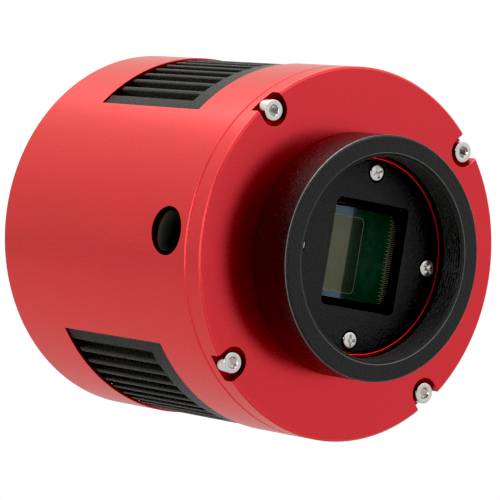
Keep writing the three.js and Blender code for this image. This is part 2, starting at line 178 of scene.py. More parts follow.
def turned(name, profile, sides):
    """A solid turned about the optical axis from (radius, y) points."""
    bm = bmesh.new()
    rings = []
    for r, y in profile:
        if r < 1e-6:
            rings.append([bm.verts.new((0, y * MM, 0))])
            continue
        turn = [2 * math.pi * k / sides for k in range(sides)]
        rings.append([bm.verts.new((r * math.cos(a) * MM, y * MM, r * math.sin(a) * MM)) for a in turn])
    closed = len(rings[0]) > 1
    for i in range(len(rings) - (0 if closed else 1)):
        first, second = rings[i], rings[(i + 1) % len(rings)]
        for k in range(sides):
            n = (k + 1) % sides
            near = [first[k % len(first)], first[n % len(first)]]
            far = [second[n % len(second)], second[k % len(second)]]
            corners = near + far
            unique = list(dict.fromkeys(corners))
            if len(unique) > 2:
                bm.faces.new(unique)
    return finish_mesh(name, bm)


def loft(bm, sections):
    """A closed bar through sections of (x, y, z) points, all with the same count."""
    rows = [[bm.verts.new((x * MM, y * MM, z * MM)) for x, y, z in section] for section in sections]
    bm.faces.new(rows[0])
    bm.faces.new(rows[-1])
    for near, far in zip(rows, rows[1:]):
        for k in range(len(near)):
            n = (k + 1) % len(near)
            bm.faces.new((near[k], near[n], far[n], far[k]))


def slab(name, outline, y0, y1):
    """A flat (x, z) outline made thick from y0 to y1."""
    bm = bmesh.new()
    loft(bm, [[(x, y, z) for x, z in outline] for y in (y0, y1)])
    return finish_mesh(name, bm)


def circle(r, sides, x=0.0, z=0.0):
    turn = [2 * math.pi * k / sides for k in range(sides)]
    return [(x + r * math.cos(a), z + r * math.sin(a)) for a in turn]


def arc(r, start, end, steps, x=0.0):
    turn = [start + (end - start) * k / steps for k in range(steps + 1)]
    return [(x + r * math.cos(a), r * math.sin(a)) for a in turn]


def rectangle(x0, x1, z0, z1, radius=0.0, steps=5):
    corners = [(x0, z0), (x1, z0), (x1, z1), (x0, z1)]
    return rounded(corners, radius, steps) if radius else corners


def settle(piece):
    """Turns the piece's modifiers into its own mesh."""
    graph = bpy.context.evaluated_depsgraph_get()
    mesh = bpy.data.meshes.new_from_object(piece.evaluated_get(graph))
    piece.modifiers.clear()
    old, piece.data = piece.data, mesh
    bpy.data.meshes.remove(old)
    return piece


def carve(piece, *cutters):
    """Cuts the cutters out of the piece, and then removes them."""
    for cutter in cutters:
        step = piece.modifiers.new("cut", "BOOLEAN")
        step.operation = "DIFFERENCE"
        step.solver = "EXACT"
        step.object = cutter
    settle(piece)
    for cutter in cutters:
        bpy.data.objects.remove(cutter)
    return piece


def break_edges(piece, width, angle=35):
    step = piece.modifiers.new("edges", "BEVEL")
    step.limit_method = "ANGLE"
    step.angle_limit = math.radians(angle)
    step.width = width
    step.segments = 2
    step.use_clamp_overlap = False
    return settle(piece)


def shade(piece, angle=30):
    """Smooth across gentle edges, with flat faces kept flat."""
    piece.data.shade_smooth()
    piece.data.set_sharp_from_angle(angle=math.radians(angle))
    step = piece.modifiers.new("normals", "WEIGHTED_NORMAL")
    step.keep_sharp = True
    return settle(piece)


def put(piece, spot, angle, axis):
    """Turns a piece about one axis, and then moves it to a spot."""
    there = Matrix.Translation([part * MM for part in spot])
    piece.data.transform(there @ Matrix.Rotation(angle, 4, axis))
    return piece


def join_pieces(name, pieces):
    """One mesh of several separate bodies."""
    bm = bmesh.new()
    for piece in pieces:
        bm.from_mesh(piece.data)
        bpy.data.objects.remove(piece)
    mesh = bpy.data.meshes.new(name)
    bm.to_mesh(mesh)
    bm.free()
    return add_piece(name, mesh)


def paint_band(piece, material, r0, r1, y0, y1, inside=False):
    """Gives a second finish to the faces whose middle lies in a ring from r0 to r1 and from y0 to y1.

    With inside, faces that look straight out from the axis are left alone.
    """
    piece.data.materials.append(material)
    index = len(piece.data.materials) - 1
    for face in piece.data.polygons:
        x, y, z = face.center / MM
        r = math.hypot(x, z)
        if not (r0 <= r <= r1 and y0 <= y <= y1):
            continue
        outward = (face.normal.x * x + face.normal.z * z) / r if r else 0.0
        if not (inside and outward > 0.9):
            face.material_index = index


def dress(piece, body, material, slot, *nodes):
    """Gives a piece its finish and its body, and hides the CAD nodes that it stands for; the slot is not
    used.
    """
    piece.data.materials.clear()
    piece.data.materials.append(material)
    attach(piece, body)
    if nodes:
        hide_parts(*nodes)
    return piece


# ---- shader maths ----


class Wire:
    """A value in a node tree that can be used in a sum."""

    def __init__(self, nodes, socket):
        self.nodes = nodes
        self.socket = socket

    def _maths(self, operation, first, second=0.0):
        return self.nodes.node("Math", {"operation": operation}, {0: first, 1: second})

    def __add__(self, other):
        return self._maths("ADD", self, other)

    def __radd__(self, other):
        return self._maths("ADD", other, self)

    def __mul__(self, other):
        return self._maths("MULTIPLY", self, other)

    def __rmul__(self, other):
        return self._maths("MULTIPLY", other, self)

    def __gt__(self, other):
        return self._maths("GREATER_THAN", self, other)

    def __abs__(self):
        return self._maths("ABSOLUTE", self)


class Nodes:
    """A node tree, and the one way in which nodes are added to it."""

    def __init__(self, tree):
        self.tree = tree

    def node(self, kind, settings=None, inputs=None, output=0):
        made = self.tree.nodes.new("ShaderNode" + kind)
        for key, value in (settings or {}).items():
            if key == "stops":
                self._stops(made.color_ramp, value)
            else:
                setattr(made, key, value)
        for key, value in (inputs or {}).items():
            self.feed(made.inputs[key], value)
        return Wire(self, made.outputs[output])

    def mix(self, factor, first, second):
        return self.node("Mix", {"data_type": "RGBA"}, {0: factor, 6: first, 7: second}, output=2)

    def _stops(self, ramp, stops):
        while len(ramp.elements) < len(stops):
            ramp.elements.new(0.5)
        for element, (position, grey) in zip(ramp.elements, stops):
            element.position = position
            element.color = (grey, grey, grey, 1)

    def feed(self, socket, value):
        if isinstance(value, Wire):
            self.tree.links.new(value.socket, socket)
        elif socket.type == "RGBA" and len(value) == 3:
            socket.default_value = (*value, 1)
        else:
            socket.default_value = value


class Finish(Nodes):
    """A material and the nodes that drive its Principled shader."""

    def __init__(self, name, **fixed):
        self.material = bpy.data.materials.new(name)
        self.material.use_nodes = True
        super().__init__(self.material.node_tree)
        self.shader = self.tree.nodes["Principled BSDF"]
        self.place = self.node("TexCoord", output="Object")
        self.set(**fixed)

    def set(self, **values):
        for key, value in values.items():
            self.feed(self.shader.inputs[key.replace("_", " ")], value)
        return self

    def vary(self, mask, low, high, smooth, rougher):
        """Takes the colour from low to high, and the roughness up from smooth, as the mask rises."""
        return self.set(Base_Color=self.mix(mask, low, high), Roughness=smooth + rougher * mask)

    def noise(self, scale, detail=2.0, roughness=0.5, place=None):
        return self.node(
            "TexNoise",
            {},
            {"Vector": place or self.place, "Scale": scale, "Detail": detail, "Roughness": roughness},
        )

    def axis(self, name):
        return self.node("SeparateXYZ", {}, {0: self.place}, output=name)

    def stretch(self, x, y, z):
        return self.node("Mapping", {}, {"Vector": self.place, "Scale": (x, y, z)})

    def bump(self, height, distance, strength=1.0):
        inputs = {"Height": height, "Distance": distance, "Strength": strength}
        self.set(Normal=self.node("Bump", {}, inputs))
        return self


def tint(colour, factor):
    return tuple(min(1.0, channel * factor) for channel in colour)


def finishes(context):
    """Every material, made once and kept by name."""
    colours = context.scene.guide_camera_colours
    makers = {
        "red anodised": lambda: red_anodised(colours.red),
        "black anodised": lambda: black_anodised(colours.black),
        "black satin": lambda: black_anodised(colours.black, "black satin", 0.2),
        # A darker copy of black anodising, as painted shade in the heat sink's fin channels.
        "black heat sink shade": lambda: black_anodised(tint(colours.black, 0.5), "black heat sink shade", 0.12),
        "black edge highlight": lambda: black_edge_highlight(colours.black),
        "red edge highlight": lambda: red_edge_highlight(colours.red),
        "red pocket shade": lambda: red_pocket_shade(colours.red),
        "stainless": lambda: stainless(colours.steel),
        "plug gloss": plug_gloss,
        "rubber": rubber,
        "window": window_glass,
        "field": sensor_field,
        "chip": sensor_chip,
        "gold": gold,
        "bond wire": bond_wire,
        "package": package_ceramic,
        "board": lambda: circuit_board(colours.board),
        "dark board": lambda: circuit_board((0.003, 0.003, 0.003), "dark board"),
        "aluminium": machined_aluminium,
        "ceramic": white_ceramic,
        "black plastic": black_plastic,
        "port steel": port_steel,
        "port blue": port_blue,
        "copper": copper_winding,
    }
    return {name: bpy.data.materials.get(name) or make() for name, make in makers.items()}


def red_anodised(colour):
    """Dyed oxide over bead-blasted aluminium: a red metal under a clear, satin coat."""
    finish = Finish("red anodised", Metallic=1.0, Specular_Tint=(1.0, 0.18, 0.18))
    finish.set(Coat_Weight=0.9, Coat_IOR=1.62, Coat_Roughness=0.28)
    grain = finish.noise(3000.0, 2.0, 0.7)
    cloud = finish.noise(60.0, 2.0)
    base = finish.mix(0.8 * grain + 0.2 * cloud, tint(colour, 0.70), tint(colour, 1.26))
    finish.set(Base_Color=base, Roughness=0.22 + 0.08 * grain)
    return finish.bump(grain, 0.02 * MM, 0.22).material


def red_edge_highlight(colour):
    """A red edge finish painted brighter than the plate, as a painted highlight on machined edges."""
    finish = Finish("red edge highlight", Metallic=1.0, Coat_Weight=0.6, Coat_Roughness=0.2)
    highlight_grain = finish.noise(1500.0, 2.0)
    return finish.vary(highlight_grain, tint(colour, 1.0), (1.0, 0.10, 0.10), 0.3, 0.1).material


def red_pocket_shade(colour):
    """The milled walls of the screw pockets, painted a darker red as painted shade."""
    finish = Finish("red pocket shade", Metallic=1.0, Coat_Weight=0.5, Coat_Roughness=0.3)
    marks = finish.noise(1.0, 2.0, 0.5, finish.stretch(600.0, 5000.0, 600.0))
    finish.vary(marks, tint(colour, 0.34), tint(colour, 0.5), 0.3, 0.12)
    return finish.bump(marks, 0.006 * MM, 0.4).material


def black_anodised(colour, name="black anodised", gloss=0.44):
    """Black oxide over a bead-blasted surface, whose grain scatters the light."""
    finish = Finish(name, Specular_IOR_Level=gloss)
    grain = finish.noise(1900.0, 3.0, 0.75)
    finish.vary(grain, tint(colour, 0.2), tint(colour, 3.0), 0.06, 0.5)
    return finish.bump(grain, 0.2 * MM, 1.0).material


def black_edge_highlight(colour):
    """Black anodising painted lighter along a machined edge, as a painted highlight."""
    finish = Finish("black edge highlight", Metallic=0.9)
    highlight_grain = finish.noise(900.0, 3.0)
    finish.vary(highlight_grain, tint(colour, 80.0), tint(colour, 150.0), 0.3, 0.1)
    return finish.bump(highlight_grain, 0.004 * MM, 0.3).material


def stainless(colour):
    finish = Finish("stainless", Metallic=1.0)
    marks = finish.noise(4000.0, 2.0)
    smudge = finish.noise(700.0, 2.0)
    finish.vary(smudge, tint(colour, 0.88), colour, 0.14, 0.14)
    return finish.bump(marks, 0.004 * MM, 0.3).material


def plug_gloss():
    finish = Finish("plug gloss", Specular_IOR_Level=0.1)
    haze = finish.noise(1500.0, 3.0)
    finish.vary(haze, (0.001, 0.001, 0.001), (0.003, 0.003, 0.003), 0.1, 0.12)
    return finish.bump(haze, 0.004 * MM, 0.3).material


def rubber():
    finish = Finish("rubber", Base_Color=(0.012, 0.012, 0.012))
    grain = finish.noise(3000.0, 3.0)
    return finish.set(Roughness=0.62 + 0.2 * grain).bump(grain, 0.01 * MM, 0.4).material


def window_glass():
    finish = Finish("window", Base_Color=(0.01, 0.016, 0.014), Alpha=0.08)
    haze = finish.noise(300.0, 2.0)
    return finish.set(Roughness=0.02 + 0.03 * haze).material


def sensor_field():
    """The light-sensitive field: dark green, with an olive mirror sheen."""
    finish = Finish("field", IOR=2.4, Specular_Tint=(1.0, 0.97, 0.62))
    rows = finish.noise(1.0, 2.0, 0.5, finish.stretch(300.0, 300.0, 1800.0))
    return finish.vary(rows, (0.05, 0.10, 0.06), (0.07, 0.13, 0.08), 0.05, 0.04).material


def sensor_chip():
    """The circuits round the field: green, painted lighter towards the sides as painted light, with a blue
    mirror sheen.
    """
    finish = Finish("chip", IOR=2.75, Specular_Tint=(0.5, 0.76, 1.0))
    tracks = finish.noise(1.0, 2.0, 0.5, finish.stretch(1800.0, 1800.0, 500.0))
    blocks = finish.noise(420.0, 1.0)
    # Painted light: the green grows lighter from the middle out to the sides, which the cover's opening
    # shades.
    outward = finish.node("MapRange", {}, {0: abs(finish.axis("X")), 1: 7 * MM, 2: 12.5 * MM})
    near = finish.mix(tracks, (0.04, 0.12, 0.065), (0.06, 0.18, 0.10))
    far = finish.mix(tracks, (0.10, 0.27, 0.15), (0.15, 0.38, 0.22))
    green_with_painted_light = finish.mix(0.25 * (blocks > 0.56) + 0.75 * outward, near, far)
    return finish.set(Base_Color=green_with_painted_light, Roughness=0.05 + 0.05 * tracks).material


def gold():
    finish = Finish("gold", Metallic=0.55)
    wear_and_highlight = finish.noise(2500.0, 2.0)
    return finish.vary(wear_and_highlight, (0.80, 0.62, 0.34), (0.95, 0.78, 0.46), 0.4, 0.15).material


def bond_wire():
    """Fine gold wire, drawn rough enough to catch light from any side."""
    finish = Finish("bond wire", Metallic=0.0)
    drawn = finish.noise(3000.0, 2.0)
    finish.vary(drawn, (0.75, 0.62, 0.42), (1.0, 0.9, 0.68), 0.4, 0.15)
    return finish.bump(drawn, 0.002 * MM, 0.3).material


def package_ceramic():
    finish = Finish("package")
    grain = finish.noise(1800.0, 3.0)
    finish.vary(grain, (0.012, 0.012, 0.012), (0.03, 0.03, 0.03), 0.5, 0.2)
    return finish.bump(grain, 0.006 * MM, 0.4).material


def circuit_board(colour, name="board"):
    finish = Finish(name)
    upright = finish.node("Mapping", {}, {"Vector": finish.place, "Rotation": (math.pi / 2, 0, 0)})
    copper = finish.node(
        "TexBrick",
        {},
        {
            "Vector": upright,
            "Color1": tint(colour, 0.8),
            "Color2": tint(colour, 1.3),
            "Mortar": tint(colour, 2.2),
            "Scale": 260.0,
            "Mortar Size": 0.04,
        },
    )
    weave = finish.noise(2200.0, 2.0)
    finish.set(Base_Color=copper, Roughness=0.3 + 0.2 * weave)
    return finish.bump(weave, 0.008 * MM, 0.3).material


def machined_aluminium():
    finish = Finish("aluminium", Metallic=1.0)
    marks = finish.noise(1.0, 2.0, 0.5, finish.stretch(9000.0, 9000.0, 300.0))
    finish.vary(marks, (0.55, 0.55, 0.56), (0.72, 0.72, 0.73), 0.28, 0.15)
    return finish.bump(marks, 0.004 * MM, 0.4).material


def white_ceramic():
    finish = Finish("ceramic")
    grain = finish.noise(1500.0, 3.0)
    finish.vary(grain, (0.74, 0.73, 0.69), (0.86, 0.85, 0.81), 0.5, 0.2)
    return finish.bump(grain, 0.006 * MM, 0.3).material


def black_plastic():
    finish = Finish("black plastic")
    grain = finish.noise(2600.0, 3.0)
    finish.vary(grain, (0.014, 0.014, 0.015), (0.03, 0.03, 0.031), 0.4, 0.2)
    return finish.bump(grain, 0.01 * MM, 0.4).material


def port_steel():
    finish = Finish("port steel", Metallic=1.0)
    brushed = finish.noise(1.0, 2.0, 0.5, finish.stretch(7000.0, 500.0, 7000.0))
    finish.vary(brushed, (0.5, 0.5, 0.49), (0.68, 0.67, 0.65), 0.2, 0.16)
    return finish.bump(brushed, 0.003 * MM, 0.4).material


def port_blue():
    finish = Finish("port blue")
    grain = finish.noise(2200.0, 2.0)
    finish.vary(grain, (0.012, 0.09, 0.42), (0.02, 0.13, 0.52), 0.38, 0.14)
    return finish.bump(grain, 0.006 * MM, 0.3).material


def copper_winding():
    finish = Finish("copper", Metallic=1.0)
    turns = finish.noise(1.0, 1.0, 0.5, finish.stretch(400.0, 6000.0, 400.0))
    finish.vary(turns, (0.42, 0.16, 0.06), (0.7, 0.32, 0.14), 0.26, 0.14)
    return finish.bump(turns, 0.03 * MM, 0.5).material


# ---- shared sizes: each piece's reach is read from the frame ----

(_, SEAM, _), (BODY_R, BODY_BACK, _) = node_box("body_shell")
SEAM_CHAMFER = 0.32
COLLAR_BORE = 34.0
COLLAR_BACK = 16.8
PORT_BORE = 5.0

(_, BOSS_FRONT, _), (_, PLATE_BACK, _) = node_box("front_plate")
PLATE_SCREW_R = math.hypot(node_centre("plate_screw_1").x, node_centre("plate_screw_1").z)
PLATE_SCREW_HOLE = 1.6
POCKET_HALF, POCKET_DEPTH = 3.2, 2.7

BOSS_R = 20.9
WINDOW_R, WINDOW_LEDGE_R, CHAMBER_R = 16.2, 15.2, 22.5
WINDOW_SEAT, WINDOW_LEDGE, CHAMBER_FRONT = -1.0, 1.6, 3.0

(_, RING_FRONT, _), (RING_R, RING_BACK, _) = node_box("t2_extension_ring")
RING_CREST, RING_ROOT = 20.95, 21.4
RING_BORE, RING_MOUTH = 21.3, 21.75

(_, COVER_FRONT, _), (COVER_R, COVER_BACK, _) = node_box("chamber_cover")
BOSS_BORE = COVER_R + 0.3
COVER_SCREW_R = node_centre("cover_screw_1").x
COVER_SCREW_TURNS = (0.6, -0.45, 0.3, -0.15)
COUNTERBORE_DEPTH = 1.1
APERTURE = (-9.1, 10.3, -11.1, 11.3)
APERTURE_CORNER, APERTURE_WEB = 1.6, 2.0

CHIP_HALF, CHIP_TOP, CHIP_Z = 14.4, 5.15, (-9.6, 10.0)
FIELD_X, FIELD_Z, FIELD_CORNER = 6.15, (-7.8, 8.05), 1.2
WIRE_STARTS, WIRE_END = (13.75, 13.15), 15.45

(_, SINK_FRONT, _), (SINK_R, _, _) = node_box("heat_sink")
SHELL_BORE = SINK_R + 0.2
LAND_R = BODY_R - 0.35
VENT_FRONT, VENT_BACK, VENT_HALF = 19.6, 54.4, math.radians(51.1)
FIN_FRONT, FIN_BACK, FIN_PITCH, FIN_HALF_COUNT = 25.0, 54.25, 2.6, 10
FIN_ROOT = FIN_FRONT - 0.5
FLANK_X = 28.15
POST_R, POST_BACK = 2.6, 54.6

GRILLE_ROWS = ((5.4, 8.4), (10.0, 13.0), (14.6, 17.6))
PORTS = ("usb_host_port", "usb_hub_port_left", "usb_hub_port_right", "power_jack")
PORT_GAP = 0.3


def on_circle(r, angle):
    return r * math.cos(angle), r * math.sin(angle)


def saw_profile(crest, root, y0, y1, pitch):
    """Thread teeth as (radius, y) points from y0 to y1."""
    teeth = []
    count = int(abs(y1 - y0) / pitch)
    step = math.copysign(pitch, y1 - y0)
    for k in range(count):
        y = y0 + k * step
        teeth += [(crest, y), (crest, y + 0.14 * step), (root, y + 0.5 * step), (root, y + 0.6 * step)]
    return teeth + [(crest, y0 + count * step)]


# ---- pieces ----


def plate_screw_hole(angle):
    return circle(PLATE_SCREW_HOLE, 24, *on_circle(PLATE_SCREW_R, angle))


def body_shell(sizes, looks):
    """The red tube: a collar in front, a thin wall behind it, two vent windows and a port."""
    edge, chamfer = sizes.edge / MM, sizes.chamfer / MM
    profile = rounded(
        [
            (COLLAR_BORE, SEAM), (BODY_R - SEAM_CHAMFER, SEAM, 0.03), (BODY_R, SEAM + SEAM_CHAMFER, 0.08),
            (BODY_R, BODY_BACK - chamfer, 0.1), (BODY_R - chamfer, BODY_BACK, 0.1),
            (SHELL_BORE, BODY_BACK, 0.05), (SHELL_BORE, COLLAR_BACK, 0.0), (COLLAR_BORE, COLLAR_BACK),
        ],
        edge,
    )
    tube = turned("red_body_tube", profile, sizes.sides)
    reach = 2 * BODY_R
    wedges = []
    for middle in (math.pi / 2, -math.pi / 2):
        left, right = on_circle(reach, middle - VENT_HALF), on_circle(reach, middle + VENT_HALF)
        wedge = [(0, 0), left, on_circle(reach * 1.5, middle), right]
        wedges.append(slab("wedge", wedge, VENT_FRONT, VENT_BACK))
    plug = node_centre("side_plug")
    bore = slab("port", circle(PORT_BORE, 64), 30.0, BODY_R + 5)
    put(bore, (0, plug.y, plug.z), math.pi / 2, "Z")
    taps = [slab("tap", plate_screw_hole(angle), SEAM - 1, SEAM + 9) for angle in DIAGONALS]
    carve(tube, *wedges, bore, *taps)
    break_edges(tube, 0.1 * MM)
    return dress(shade(tube), "camera", looks["red anodised"], "red_anodised", "body_shell")


def front_plate(sizes, looks):
    """The red plate with four screw pockets, and the threaded boss on it."""
    chamfer = sizes.chamfer / MM
    pitch = sizes.thread_pitch / MM
    foot = BOSS_R - 0.3
    thread = saw_profile(BOSS_R, BOSS_R - 0.35, BOSS_FRONT + 0.45, -0.4, pitch)
    outer = [(BOSS_BORE, BOSS_FRONT), (BOSS_R - 0.4, BOSS_FRONT)] + thread + [(foot, 0.0)]
    rim = rounded(
        [
            (foot, 0.0, 0.0), (BODY_R - chamfer, 0.0, 0.12), (BODY_R, chamfer, 0.12),
            (BODY_R, PLATE_BACK - SEAM_CHAMFER, 0.08), (BODY_R - SEAM_CHAMFER, PLATE_BACK, 0.03),
            (CHAMBER_R, PLATE_BACK), (CHAMBER_R, CHAMBER_FRONT), (WINDOW_LEDGE_R, CHAMBER_FRONT),
            (WINDOW_LEDGE_R, WINDOW_LEDGE), (WINDOW_R, WINDOW_LEDGE), (WINDOW_R, WINDOW_SEAT),
            (BOSS_BORE, WINDOW_SEAT), (BOSS_BORE, BOSS_FRONT, 0.0),
        ],
        0.05,
    )
    plate = turned("red_front_plate", outer + rim[1:-1], sizes.sides)
    cutters = []
    for angle in DIAGONALS:
        way_out = PLATE_SCREW_R + 8
        mouth = [(way_out, -POCKET_HALF), (way_out, POCKET_HALF)]
        outline = mouth + arc(POCKET_HALF, math.pi / 2, 1.5 * math.pi, 24, PLATE_SCREW_R)
        pocket = slab("pocket", outline, -1.0, POCKET_DEPTH)
        cutters.append(put(pocket, (0, 0, 0), -angle, "Y"))
        cutters.append(slab("hole", plate_screw_hole(angle), 0, 6))
    for angle in QUARTERS:
        spot = on_circle(COVER_SCREW_R, angle)
        cutters.append(slab("tap", circle(1.1, 20, *spot), WINDOW_SEAT - 1, 2.4))
    carve(plate, *cutters)
    break_edges(plate, 0.2 * MM, angle=50)
    dress(shade(plate), "camera", looks["red anodised"], "red_anodised", "front_plate")
    paint_band(plate, looks["black anodised"], 0, 19.0, WINDOW_SEAT + 0.05, PLATE_BACK)
    # Painted highlight: the corners of the front chamfer take the brighter red edge finish.
    front_edge = BODY_R - chamfer
    paint_band(plate, looks["red edge highlight"], front_edge - 0.12, front_edge + 0.06, -0.01, 0.1)
    paint_band(plate, looks["red edge highlight"], BODY_R - 0.06, BODY_R, chamfer - 0.1, chamfer + 0.12)
    # Painted shade: the walls of the screw pockets take a darker red.
    pocket_in = PLATE_SCREW_R - POCKET_HALF - 0.2
    pocket_floor = POCKET_DEPTH + 0.1
    paint_band(plate, looks["red pocket shade"], pocket_in, BODY_R, chamfer + 0.2, pocket_floor, inside=True)


def extension_ring(sizes, looks):
    """The black ring, with a threaded bore, and painted highlights on its edges and thread crests."""
    pitch = sizes.thread_pitch / MM
    chamfer = sizes.chamfer / MM
    bore = saw_profile(RING_CREST, RING_ROOT, RING_FRONT + 0.6, -4.4, pitch)
    profile = rounded(
        [
            (RING_BORE, RING_BACK), (RING_R, RING_BACK, 0.15), (RING_R, RING_FRONT + chamfer, 0.16),
            (RING_R - chamfer, RING_FRONT, 0.14), (RING_MOUTH, RING_FRONT, 0.15),
            (RING_BORE, RING_FRONT + 0.45, 0.05),
        ],
        0.1,
    )
    ring = turned("black_extension_ring", profile + bore + [(RING_BORE, -4.1)], sizes.sides)
    dress(shade(ring), "extension_ring", looks["black anodised"], "black_anodised", "t2_extension_ring")
    # Painted highlight: the front edge, the mouth edge and the thread crests are painted lighter.
    wear_and_highlight = looks["black edge highlight"]
    paint_band(ring, wear_and_highlight, RING_R - 0.06, RING_R, RING_FRONT, RING_FRONT + chamfer + 0.2)
    paint_band(ring, wear_and_highlight, RING_MOUTH - 0.13, RING_MOUTH + 0.05, RING_FRONT, RING_FRONT + 0.08)
    paint_band(ring, wear_and_highlight, RING_CREST - 0.01, RING_CREST + 0.17, RING_FRONT, RING_BACK)


def chamber_cover(sizes, looks):
    """The black disc over the sensor: its opening has round corners in front and small webs behind."""
    front, back = COVER_FRONT, COVER_BACK
    profile = rounded([(0, front, 0), (COVER_R, front, 0.15), (COVER_R, back, 0.1), (0, back, 0)], 0.1)
    disc = turned("black_chamber_cover", profile, sizes.sides)
    web_front = front + 1.1
    (x0, x1, z0, z1), cut = APERTURE, APERTURE_WEB
    webbed = [
        (x0 + cut, z0), (x1 - cut, z0), (x1, z0 + cut), (x1, z1 - cut),
        (x1 - cut, z1), (x0 + cut, z1), (x0, z1 - cut), (x0, z0 + cut),
    ]
    cutters = [
        slab("opening", rectangle(*APERTURE, APERTURE_CORNER, 8), front - 1, web_front),
        slab("opening_back", webbed, web_front - 0.5, back + 1),
    ]
    for angle in QUARTERS:
        spot = on_circle(COVER_SCREW_R, angle)
        cutters.append(slab("counterbore", circle(2.1, 40, *spot), front - 1, front + COUNTERBORE_DEPTH))
        cutters.append(slab("clearance", circle(1.3, 24, *spot), front, back + 1))
    carve(disc, *cutters)
    break_edges(disc, 0.12 * MM)
    return dress(shade(disc), "camera", looks["black anodised"], "black_anodised", "chamber_cover")


def cap_screw(name, head_r, head_h, socket_r, shank_r, top, length):
    """A socket cap screw pointing along +Y, with its head's top at y = top."""
    profile = rounded(
        [
            (0, top, 0), (head_r, top, 0.3), (head_r, top + head_h, 0.1), (shank_r, top + head_h, 0.05),
            (shank_r, top + length, 0.2), (0, top + length, 0),
        ],
        0.1,
    )
    screw = turned(name, profile, 48)
    mouth, foot = top - 0.5, top + 0.35
    cone = [(0, mouth), (socket_r * 1.35, mouth), (socket_r * 0.9, foot), (0, foot)]
    lead_in = turned("lead_in", cone, 36)
    socket = slab("socket", circle(socket_r, 6), top - 0.5, top + head_h * 0.55)
    carve(screw, socket, lead_in)
    return break_edges(screw, 0.04 * MM)


def pan_screw(name, top):
    """A cross-recess screw with a low, nearly flat head, pointing along +Y."""
    head_r, head_h, shank_r, length = 1.87, 1.3, 0.85, 6.1
    crown = [(0, 0), (1.42, 0), (1.62, 0.05), (1.77, 0.15), (1.85, 0.3), (head_r, 0.5)]
    shank = [(head_r, head_h), (shank_r, head_h), (shank_r, length), (0, length)]
    profile = [(r, top + down) for r, down in crown + shank]
    screw = turned(name, profile, 64)
    arm, half = 1.3, 0.33
    cross = [
        (arm, -half), (arm, half), (half, half), (half, arm), (-half, arm), (-half, half),
        (-arm, half), (-arm, -half), (-half, -half), (-half, -arm), (half, -arm), (half, -half),
    ]
    pit = [(0, -0.5), (0.62, -0.5), (0.5, 0.12), (0.2, 0.95), (0, 0.95)]
    core = turned("core", [(r, top + down) for r, down in pit], 32)
    return carve(screw, slab("cross", cross, top - 0.5, top + 0.55), core)


def front_screws(looks):
    """Four cap screws in the plate's pockets, and four pan head screws in the chamber cover."""
    for i, angle in enumerate(DIAGONALS):
        x, z = on_circle(PLATE_SCREW_R, angle)
        screw = cap_screw(f"plate_cap_screw_{i + 1}", 2.25, 2.5, 1.15, 1.25, 0.1, 11.4)
        put(screw, (x, 0, z), 0.4 + i, "Y")
        dress(shade(screw), "camera", looks["stainless"], "stainless_steel", f"plate_screw_{i + 1}")
    for i, angle in enumerate(QUARTERS):
        x, z = on_circle(COVER_SCREW_R, angle)
        screw = pan_screw(f"cover_pan_screw_{i + 1}", node_box("cover_screw_1")[0].y)
        put(screw, (x, 0, z), COVER_SCREW_TURNS[i], "Y")
        dress(shade(screw), "camera", looks["stainless"], "stainless_steel", f"cover_screw_{i + 1}")


def fin(x, thickness):
    """One plate of the heat sink: its edges follow the round body and its back corners are round."""
    half = thickness / 2
    drop = 1.0
    rounding = [(0, 0.3), (0.09, 0.09), (0.3, 0)]
    across = [(-half + s, d) for s, d in rounding] + [(half - s, d) for s, d in reversed(rounding)]
    turn = (0, 0.35, 0.7, 1.05, 1.3, math.pi / 2)
    corner = [(FIN_BACK - drop * (1 - math.sin(t)), drop * (1 - math.cos(t))) for t in turn]
    stations = [(FIN_ROOT, 0.0)] + corner
    sections = []
    for y, down in stations:
        height = [math.sqrt(LAND_R ** 2 - (x + side) ** 2) - down - low for side, low in across]
        top = [(x + side, high) for (side, low), high in zip(across, height)]
        corners = top + [(a, -b) for a, b in reversed(top)]
        sections.append([(a, y, b) for a, b in corners])
    bm = bmesh.new()
    loft(bm, sections)
    return finish_mesh("fin", bm)


def land(start, end, y0, y1):
    """A raised patch of the heat sink that fills its part of a vent window."""
    outline = arc(LAND_R, start, end, 40) + arc(SINK_R - 0.6, end, start, 40)
    return break_edges(slab("land", outline, y0, y1), 0.12 * MM)


def heat_sink(sizes, looks):
    """A flange, the fins behind it, and the lands that fill the vent windows' edges."""
    outline = [(0, SINK_FRONT, 0), (SINK_R, SINK_FRONT), (SINK_R, FIN_FRONT, 0.2), (0, FIN_FRONT, 0)]
    front_edge = rounded(outline, 0.2)
    thickness = sizes.fin_thickness / MM
    bodies = [turned("flange", front_edge, sizes.sides)]
    bodies += [fin(k * FIN_PITCH, thickness) for k in range(-FIN_HALF_COUNT, FIN_HALF_COUNT + 1)]
    edge_angle = math.acos(FLANK_X / SINK_R)
    for middle in (0.0, math.pi):
        outline = arc(SINK_R, middle - edge_angle, middle + edge_angle, 40)
        bodies.append(break_edges(slab("flank", outline, FIN_ROOT, FIN_BACK), 0.12 * MM))
    clear = 0.15
    reach = VENT_HALF - clear / LAND_R
    flank = math.asin(FLANK_X / LAND_R)
    for middle in (math.pi / 2, -math.pi / 2):
        bodies.append(land(middle - reach, middle + reach, VENT_FRONT + clear, FIN_FRONT))
        bodies.append(land(middle - reach, middle - flank, FIN_ROOT, FIN_BACK))
        bodies.append(land(middle + flank, middle + reach, FIN_ROOT, FIN_BACK))
    for node in (f"rear_standoff_{i}" for i in range(1, 5)):
        spot = node_centre(node)
        bodies.append(slab("post", circle(POST_R, 32, spot.x, spot.z), FIN_ROOT, POST_BACK))
    sink = join_pieces("finned_heat_sink", bodies)
    # Painted shade: the heat sink's body takes the darker black, and only the faces near its outer radius
    # keep the plain black colour.
    dress(shade(sink), "camera", looks["black heat sink shade"], "black_anodised", "heat_sink")
    paint_band(sink, looks["black satin"], SINK_R - 0.35, BODY_R, SINK_FRONT, FIN_BACK)


